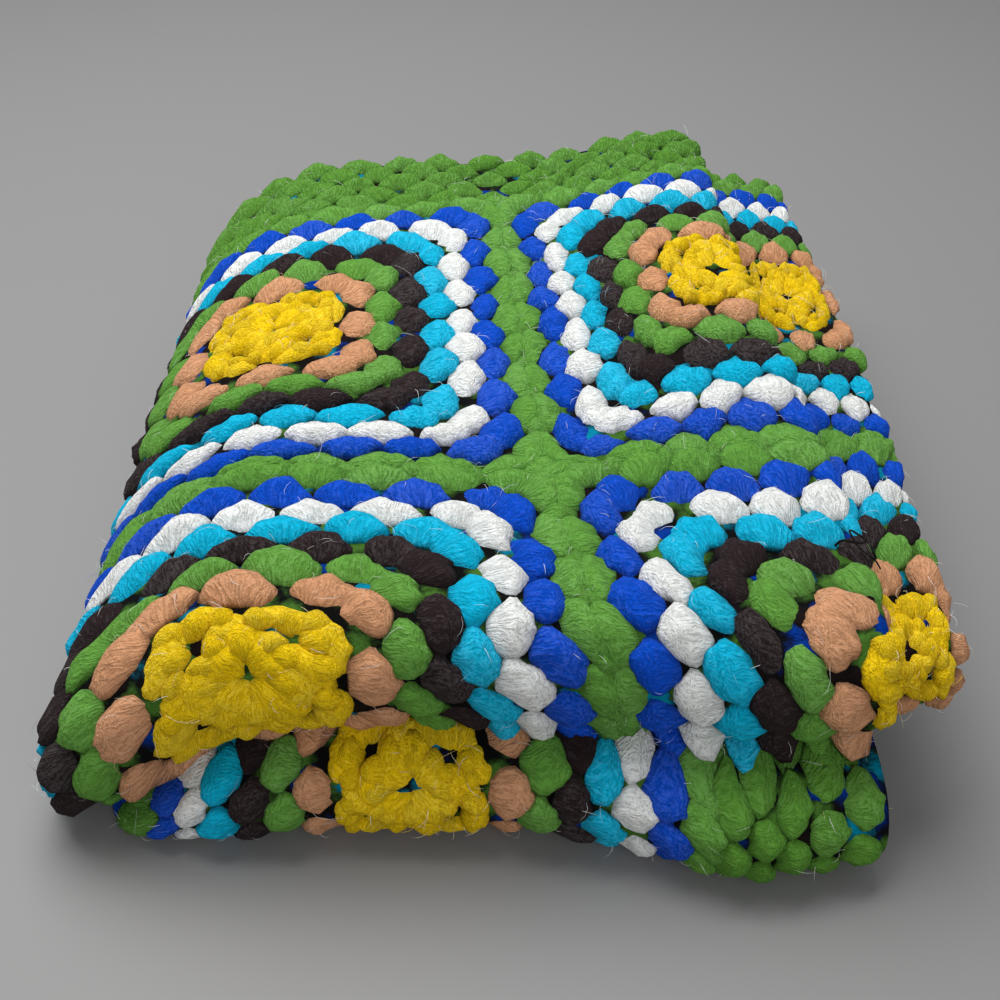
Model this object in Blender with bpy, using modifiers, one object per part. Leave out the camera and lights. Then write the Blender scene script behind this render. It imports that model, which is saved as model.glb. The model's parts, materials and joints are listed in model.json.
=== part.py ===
"""Granny square blanket, folded.

One crocheted cloth, about 1.57 m by 1.65 m, folded twice. Across its width it is folded to and fro
into a strip of five sheets. Along its length that strip is folded to and fro into four lengths that
lie on each other. The cloth is laid out as a grid, folded by rule in straight lines, given its
thickness, and then settled into the uneven stack that it makes when it lies on a table.

Metres, +Z up. The origin is at the middle of the stack's underside. The noses of the folds look
towards -Y, and the cloth's open edges, stacked on each other, towards +Y.
"""

import math

import bmesh
import bpy
import numpy as np

# ---------------------------------------------------------------- driving dimensions
SHEET = 0.0046  # thickness of the crocheted cloth
SHEET_GAP = 0.00075  # air between two sheets of the strip
LENGTH_GAP = 0.001  # air between two lengths of the strip
SHEETS = 5  # sheets in the strip
LENGTHS = 4  # lengths of the strip in the stack

DEPTH = 0.430  # nose of the upper fold to the open edge at the back, before settling
BACK_TURN = 0.386  # where the turn at the back begins
WIDE_LEFT = -0.184  # left edge of the two upper lengths
NARROW_LEFT = -0.156  # left edge of the two lower lengths
CREASE_BLEND = 0.006  # half height over which the upper and lower noses part

SHEET_STEP = SHEET + SHEET_GAP
STRIP = SHEETS * SHEET + (SHEETS - 1) * SHEET_GAP
LENGTH_STEP = STRIP + LENGTH_GAP
HEIGHT = LENGTHS * STRIP + (LENGTHS - 1) * LENGTH_GAP

# Where the cloth may bend, across the stack and from its front to its back.
ACROSS = (-0.155, -0.118, -0.065, -0.010, 0.045, 0.095, 0.140)
ALONG = (0.060, 0.120, 0.200, 0.290)

SMALL_TURN_POINTS = 3  # points on a turn between two sheets, without its ends
WRAP_POINTS = 5  # on the turn that wraps the left edge of the strip
NOSE_POINTS = 5  # on a turn of the whole strip at the front
BACK_POINTS = 5  # on the turn of the whole strip at the back

# How the stack has settled, a row for each place across it. The noses are how far the front of the
# upper and lower folds lies in front of (-) or behind (+) the straight line. The creases are the
# height of the line between the upper and lower pair of lengths, at the front and at the back. The
# tops are the height of the stack at its nose, a quarter back, in the middle and at the back.
SETTLED_COLUMNS = (
    "x", "upper_nose", "lower_nose", "front_crease", "back_crease",
    "top_nose", "top_quarter", "top_middle", "top_back",
)
SETTLED = (
    (-0.184, -0.004, 0.010, 0.000, 0.016, 0.047, 0.050, 0.058, 0.060),
    (-0.155, -0.006, -0.004, 0.008, 0.030, 0.075, 0.080, 0.086, 0.088),
    (-0.118, -0.001, -0.012, 0.034, 0.044, 0.099, 0.102, 0.105, 0.106),
    (-0.065, 0.000, -0.010, 0.048, 0.052, 0.106, 0.108, 0.110, 0.112),
    (-0.010, 0.001, -0.010, 0.047, 0.053, 0.106, 0.107, 0.109, 0.113),
    (0.045, 0.001, -0.018, 0.046, 0.053, 0.105, 0.106, 0.110, 0.114),
    (0.095, -0.002, -0.032, 0.043, 0.052, 0.103, 0.105, 0.111, 0.114),
    (0.140, -0.002, -0.026, 0.041, 0.051, 0.100, 0.102, 0.107, 0.109),
    (0.184, 0.004, -0.018, 0.039, 0.049, 0.097, 0.099, 0.103, 0.104),
)
TOP_PLACES = (0.0, 0.28, 0.55, 1.0)  # the tops' places, as parts of the depth
NOSE_REACH = 0.6  # part of the depth over which a nose's shift dies out
MIDDLE = (-0.001, DEPTH / 2 - 0.016)  # the middle of the settled stack, before it moves to the origin

# The loose pleat on top, whose right fold stands open: how far its upper sheet is lifted.
PLEAT_LIFT = 0.017
PLEAT_FROM, PLEAT_TO = 0.005, 0.110  # the lift grows between these places across
PLEAT_NEAR, PLEAT_FAR = 0.060, 0.210  # and between these from the front

# Right edges of the strip, a row for each place along the cloth, as parts of its whole length:
# the fold of the top pleat, the fold of the pleat under it, and the cloth's own open edge.
EDGE_COLUMNS = ("place", "top_pleat", "next_pleat", "open_edge")
EDGES = (
    (0.00, 0.118, 0.174, 0.150),
    (0.12, 0.126, 0.182, 0.150),
    (0.22, 0.147, 0.179, 0.150),
    (0.30, 0.150, 0.177, 0.150),
    (0.50, 0.140, 0.164, 0.150),
    (0.76, 0.138, 0.146, 0.150),
    (1.00, 0.138, 0.146, 0.150),
)


# ---------------------------------------------------------------- tables
def column(table, names, name):
    """One named column of a table, as an array."""
    return np.array([row[names.index(name)] for row in table])


def smooth_table(places, values, at):
    """Reads a table between its rows, on a smooth curve through them."""
    at = np.clip(at, places[0], places[-1])
    row = np.clip(np.searchsorted(places, at, side="right") - 1, 0, len(places) - 2)
    gap = places[row + 1] - places[row]
    part = (at - places[row]) / gap
    slope = np.gradient(values, places)
    start = (1 + 2 * part) * (1 - part) ** 2 * values[row] + part * (1 - part) ** 2 * gap * slope[row]
    end = part**2 * (3 - 2 * part) * values[row + 1] + part**2 * (part - 1) * gap * slope[row + 1]
    return start + end


def settled(name, x):
    """A column of the settled table at places x across the stack."""
    return smooth_table(column(SETTLED, SETTLED_COLUMNS, "x"), column(SETTLED, SETTLED_COLUMNS, name), x)


def ease(value, start, end):
    """0 before start, 1 after end, and a soft step between them."""
    part = np.clip((value - start) / (end - start), 0.0, 1.0)
    return part * part * (3 - 2 * part)


# ---------------------------------------------------------------- straight folding
def turn(centre, radius, start_deg, end_deg, points):
    """Points inside a turn, without its ends: (first, second) coordinates in the turn's plane."""
    angles = [
        math.radians(start_deg + (end_deg - start_deg) * (i + 1) / (points + 1)) for i in range(points)
    ]
    return [(centre[0] + radius * math.cos(a), centre[1] + radius * math.sin(a)) for a in angles]


def strip_section(left, top_pleat, next_pleat, open_edge):
    """The cloth's line across the strip, from its open edge at the lower right, round the left edge,
    and through the two pleats to its inner edge: (x, height in the strip)."""
    half = SHEET / 2
    small = SHEET_STEP / 2
    level = {name: (2 - i) * SHEET_STEP for i, name in enumerate(("top", "under", "third", "fourth", "outer"))}
    wrap = left + half + 2 * SHEET_STEP
    top_turn = top_pleat - half - small
    next_turn = next_pleat - half - small
    inner_turn = wrap + SHEET_GAP
    inner_edge = wrap + 2 * SHEET_GAP

    def run(start, end, height):
        """A straight run with its ends and the places where it may bend, in its own direction.
        Places past an end are drawn in beside it, so that every run has as many."""
        low, high = sorted((start, end))
        order = np.arange(1, len(ACROSS) + 1)
        inside = np.clip(ACROSS, low + SHEET * order, high - SHEET * order[::-1])
        places = [low, *inside, high]
        if start > end:
            places.reverse()
        return [(float(x), height) for x in places]

    line = run(open_edge, wrap, level["outer"])
    line += turn((wrap, 0.0), 2 * SHEET_STEP, 270, 90, WRAP_POINTS)
    line += run(wrap, top_turn, level["top"])
    line += turn((top_turn, 1.5 * SHEET_STEP), small, 90, -90, SMALL_TURN_POINTS)
    line += run(top_turn, inner_turn, level["under"])
    line += turn((inner_turn, 0.5 * SHEET_STEP), small, 90, 270, SMALL_TURN_POINTS)
    line += run(inner_turn, next_turn, level["third"])
    line += turn((next_turn, -0.5 * SHEET_STEP), small, 90, -90, SMALL_TURN_POINTS)
    line += run(next_turn, inner_edge, level["fourth"])
    return line


def strip_path():
    """The strip's middle line through its four lengths, from the open edge at the top of the back:
    (y, z, and the way its upper side faces, in degrees from +Y towards +Z)."""
    level = [STRIP / 2 + i * LENGTH_STEP for i in range(LENGTHS)]
    front = STRIP + LENGTH_GAP / 2
    nose = LENGTH_STEP / 2
    back_to_front = [BACK_TURN] + list(reversed(ALONG)) + [front]
    front_to_back = list(reversed(back_to_front))

    def length(places, z, faces):
        return [(y, z, faces) for y in places]

    def bend(centre, radius, start, end, points, outwards):
        """A turn of the strip. Its upper side faces away from the centre, or towards it."""
        places = []
        for i in range(points):
            angle = start + (end - start) * (i + 1) / (points + 1)
            rad = math.radians(angle)
            faces = angle if outwards else angle + 180
            places.append((centre[0] + radius * math.cos(rad), centre[1] + radius * math.sin(rad), faces))
        return places

    path = length([DEPTH] + back_to_front, level[3], 90)
    path += bend((front, (level[3] + level[2]) / 2), nose, 90, 270, NOSE_POINTS, True)
    path += length(front_to_back, level[2], 270)
    path += bend((BACK_TURN, level[1]), LENGTH_STEP, 90, -90, BACK_POINTS, False)
    path += length(back_to_front, level[0], 90)
    path += bend((front, (level[0] + level[1]) / 2), nose, 270, 90, NOSE_POINTS, False)
    path += length(front_to_back, level[1], 270)
    return path


def folded_line(place, y, z, faces):
    """The cloth's points across the strip at one place of its path, folded but still straight."""
    x_edges = {
        name: float(smooth_table(column(EDGES, EDGE_COLUMNS, "place"), column(EDGES, EDGE_COLUMNS, name), place))
        for name in EDGE_COLUMNS[1:]
    }
    lower = float(ease(place, 0.42, 0.56))
    left = WIDE_LEFT + (NARROW_LEFT - WIDE_LEFT) * lower
    rad = math.radians(faces)
    return [
        (x, y + height * math.cos(rad), z + height * math.sin(rad))
        for x, height in strip_section(left, **x_edges)
    ]


# ---------------------------------------------------------------- settling
def settle(points):
    """Moves straight folded points to where they lie in the uneven stack."""
    x, y, z = points[:, 0], points[:, 1], points[:, 2]
    back = y / DEPTH
    names = ("top_nose", "top_quarter", "top_middle", "top_back")
    top = settled(names[0], x)
    for before, after, start, end in zip(names, names[1:], TOP_PLACES, TOP_PLACES[1:]):
        top = top + (settled(after, x) - settled(before, x)) * ease(back, start, end)
    crease = settled("front_crease", x)
    crease = crease + (settled("back_crease", x) - crease) * ease(back, 0.1, 0.7)

    middle = HEIGHT / 2
    lower_height = z / middle * crease
    upper_height = crease + (z - middle) / middle * (top - crease)
    height = np.where(z < middle, lower_height, upper_height)

    pleat_low = HEIGHT - 1.5 * SHEET_STEP - SHEET / 2
    lift = PLEAT_LIFT * ease(x, PLEAT_FROM, PLEAT_TO) * ease(y, PLEAT_NEAR, PLEAT_FAR)
    height = height + lift * np.clip((z - pleat_low) / SHEET_STEP, 0.0, 1.0)

    upper = ease(z, middle - CREASE_BLEND, middle + CREASE_BLEND)
    nose = settled("lower_nose", x) * (1 - upper) + settled("upper_nose", x) * upper
    y = y + nose * (1 - ease(back, 0.0, NOSE_REACH))
    return np.column_stack((x - MIDDLE[0], y - MIDDLE[1], height))


# ---------------------------------------------------------------- the cloth
def folded_sheet(name):
    """The cloth as a grid without thickness, folded in straight lines."""
    path = strip_path()
    corners = np.array([(y, z) for y, z, _ in path])
    run = np.concatenate(([0.0], np.cumsum(np.linalg.norm(np.diff(corners, axis=0), axis=1))))
    lines = [folded_line(s / run[-1], *place) for s, place in zip(run, path)]
    mesh = bpy.data.meshes.new(name)
    shape = bmesh.new()
    across, along = len(lines[0]), len(lines)
    bmesh.ops.create_grid(shape, x_segments=across - 1, y_segments=along - 1, size=1.0)
    shape.verts.ensure_lookup_table()
    for vert, point in zip(shape.verts, (point for line in lines for point in line)):
        vert.co = point
    shape.to_mesh(mesh)
    shape.free()
    sheet = bpy.data.objects.new(name, mesh)
    bpy.context.scene.collection.objects.link(sheet)
    return sheet


def thickened(sheet):
    """The sheet as a closed solid, with half of the cloth's thickness on each side."""
    solid = sheet.modifiers.new("cloth thickness", "SOLIDIFY")
    solid.thickness = SHEET
    solid.offset = 0.0
    solid.use_even_offset = True
    depsgraph = bpy.context.evaluated_depsgraph_get()
    mesh = bpy.data.meshes.new_from_object(sheet.evaluated_get(depsgraph))
    bpy.data.objects.remove(sheet)
    return mesh


def yarn_material():
    """Green wool, the colour of the joins and the border."""
    material = bpy.data.materials.new("green wool")
    material.use_nodes = True
    shader = material.node_tree.nodes["Principled BSDF"]
    shader.inputs["Base Color"].default_value = (0.10, 0.26, 0.06, 1.0)
    shader.inputs["Roughness"].default_value = 0.95
    shader.inputs["Metallic"].default_value = 0.0
    return material


def blanket():
    """The folded blanket, settled, as one object."""
    mesh = thickened(folded_sheet("folded sheet"))
    mesh.name = "blanket"
    points = np.empty(len(mesh.vertices) * 3)
    mesh.vertices.foreach_get("co", points)
    mesh.vertices.foreach_set("co", settle(points.reshape(-1, 3)).ravel())
    shape = bmesh.new()
    shape.from_mesh(mesh)
    bmesh.ops.recalc_face_normals(shape, faces=shape.faces)
    shape.to_mesh(mesh)
    shape.free()
    mesh.shade_smooth()
    mesh.materials.append(yarn_material())
    return bpy.data.objects.new("blanket", mesh)


def main():
    for thing in list(bpy.data.objects):
        bpy.data.objects.remove(thing)
    parts = bpy.data.collections.new("granny square blanket")
    bpy.context.scene.collection.children.link(parts)
    parts.objects.link(blanket())


main()
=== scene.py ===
# %% [markdown]
# # A folded granny square blanket
# The blanket is one crocheted cloth: squares of nine rounds, joined edge to edge, with a green border. It has
# been folded into a strip of five sheets, and the strip into four lengths. We crochet it flat, cluster by
# cluster, and then fold every cluster onto the outside of the stack. That way the pattern follows the folds
# as real cloth does, and no stitch has to be placed by hand.

# %% Load the frame
import json
import math

import bmesh
import bpy
import numpy as np
from mathutils import Vector
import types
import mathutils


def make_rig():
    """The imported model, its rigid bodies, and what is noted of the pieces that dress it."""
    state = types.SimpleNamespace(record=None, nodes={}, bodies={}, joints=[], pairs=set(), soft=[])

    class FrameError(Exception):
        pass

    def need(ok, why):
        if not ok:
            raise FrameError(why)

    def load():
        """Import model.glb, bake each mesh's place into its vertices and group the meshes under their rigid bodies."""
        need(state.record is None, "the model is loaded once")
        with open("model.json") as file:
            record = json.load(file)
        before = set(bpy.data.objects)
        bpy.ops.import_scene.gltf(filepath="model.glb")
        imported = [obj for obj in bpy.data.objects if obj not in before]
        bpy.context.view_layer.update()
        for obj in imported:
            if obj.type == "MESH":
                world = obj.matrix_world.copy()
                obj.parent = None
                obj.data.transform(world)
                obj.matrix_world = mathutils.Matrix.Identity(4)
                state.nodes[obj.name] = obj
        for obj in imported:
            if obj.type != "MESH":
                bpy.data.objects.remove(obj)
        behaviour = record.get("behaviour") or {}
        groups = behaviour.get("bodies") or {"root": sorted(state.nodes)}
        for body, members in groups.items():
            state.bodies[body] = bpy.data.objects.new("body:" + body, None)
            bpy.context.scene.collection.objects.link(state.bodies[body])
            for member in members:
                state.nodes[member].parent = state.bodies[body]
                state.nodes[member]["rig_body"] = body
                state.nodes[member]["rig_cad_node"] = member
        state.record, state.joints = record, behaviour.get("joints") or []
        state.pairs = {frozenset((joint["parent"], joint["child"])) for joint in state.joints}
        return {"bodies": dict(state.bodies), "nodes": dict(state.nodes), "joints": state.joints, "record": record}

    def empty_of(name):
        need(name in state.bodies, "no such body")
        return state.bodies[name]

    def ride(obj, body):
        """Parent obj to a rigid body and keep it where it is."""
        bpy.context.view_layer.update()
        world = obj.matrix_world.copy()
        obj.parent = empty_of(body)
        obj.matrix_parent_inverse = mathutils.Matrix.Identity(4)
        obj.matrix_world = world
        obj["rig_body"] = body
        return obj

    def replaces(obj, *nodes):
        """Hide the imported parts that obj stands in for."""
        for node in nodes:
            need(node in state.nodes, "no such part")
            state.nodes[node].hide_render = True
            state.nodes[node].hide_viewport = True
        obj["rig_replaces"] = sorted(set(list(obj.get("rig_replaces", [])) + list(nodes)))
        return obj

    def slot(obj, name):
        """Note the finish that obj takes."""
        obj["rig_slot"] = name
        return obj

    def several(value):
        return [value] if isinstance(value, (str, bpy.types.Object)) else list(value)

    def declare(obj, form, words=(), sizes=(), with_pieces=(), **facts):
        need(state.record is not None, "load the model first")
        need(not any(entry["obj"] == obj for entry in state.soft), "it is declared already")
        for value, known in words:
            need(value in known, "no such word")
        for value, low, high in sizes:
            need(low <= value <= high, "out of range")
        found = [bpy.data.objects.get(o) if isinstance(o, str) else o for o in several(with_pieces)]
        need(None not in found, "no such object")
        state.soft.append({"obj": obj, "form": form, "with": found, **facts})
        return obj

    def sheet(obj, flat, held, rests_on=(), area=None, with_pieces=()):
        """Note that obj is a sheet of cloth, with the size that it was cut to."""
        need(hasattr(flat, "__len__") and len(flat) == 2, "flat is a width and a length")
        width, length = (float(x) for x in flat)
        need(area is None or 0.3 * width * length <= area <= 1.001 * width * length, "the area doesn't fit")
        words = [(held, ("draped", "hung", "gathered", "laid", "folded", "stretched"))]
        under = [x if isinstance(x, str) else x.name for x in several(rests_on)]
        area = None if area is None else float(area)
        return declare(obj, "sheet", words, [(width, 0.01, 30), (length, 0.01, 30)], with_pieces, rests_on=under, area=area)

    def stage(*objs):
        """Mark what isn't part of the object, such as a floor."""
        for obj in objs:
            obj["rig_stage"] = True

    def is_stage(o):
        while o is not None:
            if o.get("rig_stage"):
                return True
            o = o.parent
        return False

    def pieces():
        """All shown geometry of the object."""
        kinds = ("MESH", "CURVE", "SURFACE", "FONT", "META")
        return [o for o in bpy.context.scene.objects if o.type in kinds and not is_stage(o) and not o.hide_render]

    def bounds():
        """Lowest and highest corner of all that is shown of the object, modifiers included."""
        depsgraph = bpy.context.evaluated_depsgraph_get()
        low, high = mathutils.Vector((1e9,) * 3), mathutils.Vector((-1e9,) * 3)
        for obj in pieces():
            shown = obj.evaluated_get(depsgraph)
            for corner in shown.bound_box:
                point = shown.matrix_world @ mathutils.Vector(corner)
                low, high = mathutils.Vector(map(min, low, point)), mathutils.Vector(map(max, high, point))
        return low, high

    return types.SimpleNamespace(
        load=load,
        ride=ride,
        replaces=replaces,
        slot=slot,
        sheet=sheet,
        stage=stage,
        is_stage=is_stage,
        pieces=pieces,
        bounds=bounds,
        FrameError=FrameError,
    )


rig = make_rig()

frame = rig.load()
cad_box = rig.bounds()
print("CAD box", [tuple(round(value, 4) for value in corner) for corner in cad_box])


# %% Small helpers
def in_scene(name, data):
    """A new object in the scene."""
    thing = bpy.data.objects.new(name, data)
    bpy.context.scene.collection.objects.link(thing)
    return thing


def read(elements, name, size=1):
    """A value of every element of a mesh, as an array with a row for each."""
    values = np.empty(len(elements) * size, dtype=np.float32)
    elements.foreach_get(name, values)
    return values.reshape(-1, size) if size > 1 else values


def move_points(mesh, points):
    """Gives all points of a mesh new places."""
    mesh.vertices.foreach_set("co", points.astype(np.float32).ravel())


def triangles(mesh):
    """How many triangles a mesh makes."""
    return sum(len(polygon.vertices) - 2 for polygon in mesh.polygons)


def fill(tree, socket, value):
    """Links another socket to a node's socket, or sets its plain value."""
    if isinstance(value, bpy.types.NodeSocket):
        tree.links.new(value, socket)
    else:
        socket.default_value = value


# %% [markdown]
# ## How the strip is folded
# These are the sizes that the solid was made with. The straight fold comes first, because circles and
# straight runs are easy to measure along. The settled shape comes second, as one smooth movement of all
# points.

# %% Sizes of the fold
SHEET = 0.0046
SHEET_GAP = 0.00075
LENGTH_GAP = 0.001
SHEETS = 5
LENGTHS = 4
DEPTH = 0.430
BACK_TURN = 0.386
WIDE_LEFT = -0.184
NARROW_LEFT = -0.156
CREASE_BLEND = 0.006
SHEET_STEP = SHEET + SHEET_GAP
STRIP = SHEETS * SHEET + (SHEETS - 1) * SHEET_GAP
LENGTH_STEP = STRIP + LENGTH_GAP
HEIGHT = LENGTHS * STRIP + (LENGTHS - 1) * LENGTH_GAP
FRONT = STRIP + LENGTH_GAP / 2

SETTLED_COLUMNS = (
    "x", "upper_nose", "lower_nose", "front_crease", "back_crease",
    "top_nose", "top_quarter", "top_middle", "top_back",
)
SETTLED = (
    (-0.184, -0.004, 0.010, 0.000, 0.016, 0.047, 0.050, 0.058, 0.060),
    (-0.155, -0.006, -0.004, 0.008, 0.030, 0.075, 0.080, 0.086, 0.088),
    (-0.118, -0.001, -0.012, 0.034, 0.044, 0.099, 0.102, 0.105, 0.106),
    (-0.065, 0.000, -0.010, 0.048, 0.052, 0.106, 0.108, 0.110, 0.112),
    (-0.010, 0.001, -0.010, 0.047, 0.053, 0.106, 0.107, 0.109, 0.113),
    (0.045, 0.001, -0.018, 0.046, 0.053, 0.105, 0.106, 0.110, 0.114),
    (0.095, -0.002, -0.032, 0.043, 0.052, 0.103, 0.105, 0.111, 0.114),
    (0.140, -0.002, -0.026, 0.041, 0.051, 0.100, 0.102, 0.107, 0.109),
    (0.184, 0.004, -0.018, 0.039, 0.049, 0.097, 0.099, 0.103, 0.104),
)
TOP_PLACES = (0.0, 0.28, 0.55, 1.0)
NOSE_REACH = 0.6
MIDDLE = (-0.001, DEPTH / 2 - 0.016)
PLEAT_LIFT = 0.017
PLEAT_FROM, PLEAT_TO = 0.005, 0.110
PLEAT_NEAR, PLEAT_FAR = 0.060, 0.210
EDGE_COLUMNS = ("place", "top_pleat", "next_pleat", "open_edge")
EDGES = (
    (0.00, 0.118, 0.174, 0.150),
    (0.12, 0.126, 0.182, 0.150),
    (0.22, 0.147, 0.179, 0.150),
    (0.30, 0.150, 0.177, 0.150),
    (0.50, 0.140, 0.164, 0.150),
    (0.76, 0.138, 0.146, 0.150),
    (1.00, 0.138, 0.146, 0.150),
)


# %% Reading the tables
def column(table, names, name):
    """One named column of a table, as an array."""
    return np.array([row[names.index(name)] for row in table])


def smooth_table(places, values, at):
    """Reads a table between its rows, on a smooth curve through them."""
    at = np.clip(at, places[0], places[-1])
    row = np.clip(np.searchsorted(places, at, side="right") - 1, 0, len(places) - 2)
    gap = places[row + 1] - places[row]
    part = (at - places[row]) / gap
    slope = np.gradient(values, places)
    start = (1 + 2 * part) * (1 - part) ** 2 * values[row] + part * (1 - part) ** 2 * gap * slope[row]
    end = part**2 * (3 - 2 * part) * values[row + 1] + part**2 * (part - 1) * gap * slope[row + 1]
    return start + end


def settled(name, x):
    """A column of the settled table at places x across the stack."""
    return smooth_table(column(SETTLED, SETTLED_COLUMNS, "x"), column(SETTLED, SETTLED_COLUMNS, name), x)


def edge(name, place):
    """A right edge of the strip, at a place along it from 0 to 1."""
    return smooth_table(column(EDGES, EDGE_COLUMNS, "place"), column(EDGES, EDGE_COLUMNS, name), place)


def ease(value, start, end):
    """0 before start, 1 after end, and a soft step between them."""
    part = np.clip((value - start) / (end - start), 0.0, 1.0)
    return part * part * (3 - 2 * part)


# %% Settling the straight stack
def settle(points, lifted=True):
    """Moves straight folded points to where they lie in the uneven stack. The loose pleat lifts if asked."""
    x, y, z = points[:, 0], points[:, 1], points[:, 2]
    back = y / DEPTH
    names = ("top_nose", "top_quarter", "top_middle", "top_back")
    top = settled(names[0], x)
    for before, after, start, end in zip(names, names[1:], TOP_PLACES, TOP_PLACES[1:]):
        top = top + (settled(after, x) - settled(before, x)) * ease(back, start, end)
    crease = settled("front_crease", x)
    crease = crease + (settled("back_crease", x) - crease) * ease(back, 0.1, 0.7)

    middle = HEIGHT / 2
    lower_height = z / middle * crease
    upper_height = crease + (z - middle) / middle * (top - crease)
    height = np.where(z < middle, lower_height, upper_height)

    pleat_low = HEIGHT - 1.5 * SHEET_STEP - SHEET / 2
    lift = PLEAT_LIFT * ease(x, PLEAT_FROM, PLEAT_TO) * ease(y, PLEAT_NEAR, PLEAT_FAR)
    if lifted:
        height = height + lift * np.clip((z - pleat_low) / SHEET_STEP, 0.0, 1.0)

    upper = ease(z, middle - CREASE_BLEND, middle + CREASE_BLEND)
    nose = settled("lower_nose", x) * (1 - upper) + settled("upper_nose", x) * upper
    y = y + nose * (1 - ease(back, 0.0, NOSE_REACH))
    return np.column_stack((x - MIDDLE[0], y - MIDDLE[1], height))


# %% [markdown]
# ## Walking along the strip
# The strip's path is a spiral: back to front on top, round the upper nose, back underneath, round the back
# turn, forward on the floor, round the lower nose and in again. We measure it along its outside, so that
# stitches keep their size on the turns, where they show.

# %% The path of the strip
NOSE_MIDDLE = LENGTH_STEP / 2
NOSE_OUTSIDE = NOSE_MIDDLE + STRIP / 2
BACK_OUTSIDE = LENGTH_STEP + STRIP / 2
RUN = BACK_TURN - FRONT
PATH_COLUMNS = ("outside_length", "middle_length")
PATH = (
    (DEPTH - FRONT, DEPTH - FRONT),  # top length, back to front
    (math.pi * NOSE_OUTSIDE, math.pi * NOSE_MIDDLE),  # upper nose
    (RUN, RUN),  # second length, front to back
    (math.pi * BACK_OUTSIDE, math.pi * LENGTH_STEP),  # back turn
    (RUN, RUN),  # third length, on the floor
    (math.pi * NOSE_OUTSIDE, math.pi * NOSE_MIDDLE),  # lower nose
    (RUN, RUN),  # fourth length, inside
)
STARTS = np.concatenate(([0.0], np.cumsum(column(PATH, PATH_COLUMNS, "outside_length"))))
MIDDLE_STARTS = np.concatenate(([0.0], np.cumsum(column(PATH, PATH_COLUMNS, "middle_length"))))


def strip_place(along):
    """The strip's middle at lengths along its outside: y, z, the way its upper side faces (radians), and
    the place along the cloth from 0 to 1."""
    stage = np.clip(np.searchsorted(STARTS, along, side="right") - 1, 0, len(PATH) - 1)
    inside = along - STARTS[stage]
    level = [STRIP / 2 + i * LENGTH_STEP for i in range(LENGTHS)]
    quarter = math.pi / 2
    nose_turn = inside / NOSE_OUTSIDE
    back_turn = inside / BACK_OUTSIDE
    upper_angle = quarter + nose_turn
    back_angle = quarter - back_turn
    lower_angle = 3 * quarter - nose_turn
    upper_mid = (level[3] + level[2]) / 2
    lower_mid = (level[0] + level[1]) / 2
    y = np.choose(stage, (
        DEPTH - inside, FRONT + NOSE_MIDDLE * np.cos(upper_angle), FRONT + inside,
        BACK_TURN + LENGTH_STEP * np.cos(back_angle), BACK_TURN - inside,
        FRONT + NOSE_MIDDLE * np.cos(lower_angle), FRONT + inside,
    ))
    z = np.choose(stage, (
        level[3] + 0 * inside, upper_mid + NOSE_MIDDLE * np.sin(upper_angle), level[2] + 0 * inside,
        level[1] + LENGTH_STEP * np.sin(back_angle), level[0] + 0 * inside,
        lower_mid + NOSE_MIDDLE * np.sin(lower_angle), level[1] + 0 * inside,
    ))
    faces = np.choose(stage, (
        quarter + 0 * inside, upper_angle, 3 * quarter + 0 * inside,
        back_angle + 2 * quarter, quarter + 0 * inside,
        lower_angle + 2 * quarter, 3 * quarter + 0 * inside,
    ))
    middle_length = column(PATH, PATH_COLUMNS, "middle_length")[stage]
    outside_length = column(PATH, PATH_COLUMNS, "outside_length")[stage]
    place = (MIDDLE_STARTS[stage] + inside * middle_length / outside_length) / MIDDLE_STARTS[-1]
    return y, z, faces, place


def left_edge(place):
    """The strip's left edge: the two lower lengths are folded a little narrower."""
    return WIDE_LEFT + (NARROW_LEFT - WIDE_LEFT) * ease(place, 0.42, 0.56)


print("path along the outside", round(float(STARTS[-1]), 3), "m")

# %% [markdown]
# ## The outside of the strip
# Three faces of the strip show most: the top sheet, which goes round the left edge and into the right fold,
# the sheet of the next pleat, which stands out further at the right, and the outer sheet, which the stack
# lies on. The two sheets between them show only their open ends, at the back. Each face turns a distance
# across and a distance along into a point in the room.

# %% Faces of the strip
FOLD_RADIUS = SHEET_STEP / 2 + SHEET / 2  # outside of a turn between two sheets
WRAP_RADIUS = 2 * SHEET_STEP + SHEET / 2  # outside of the turn round the left edge
FACE_COLUMNS = ("name", "level", "side", "right_edge", "wraps_left")
FACES = (
    ("top", 2 * SHEET_STEP, 1, "top_pleat", True),
    ("under", SHEET_STEP, 1, None, False),
    ("next", 0.0, 1, "next_pleat", False),
    ("fourth", -SHEET_STEP, 1, None, False),
    ("outer", -2 * SHEET_STEP, -1, None, True),
)


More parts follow.
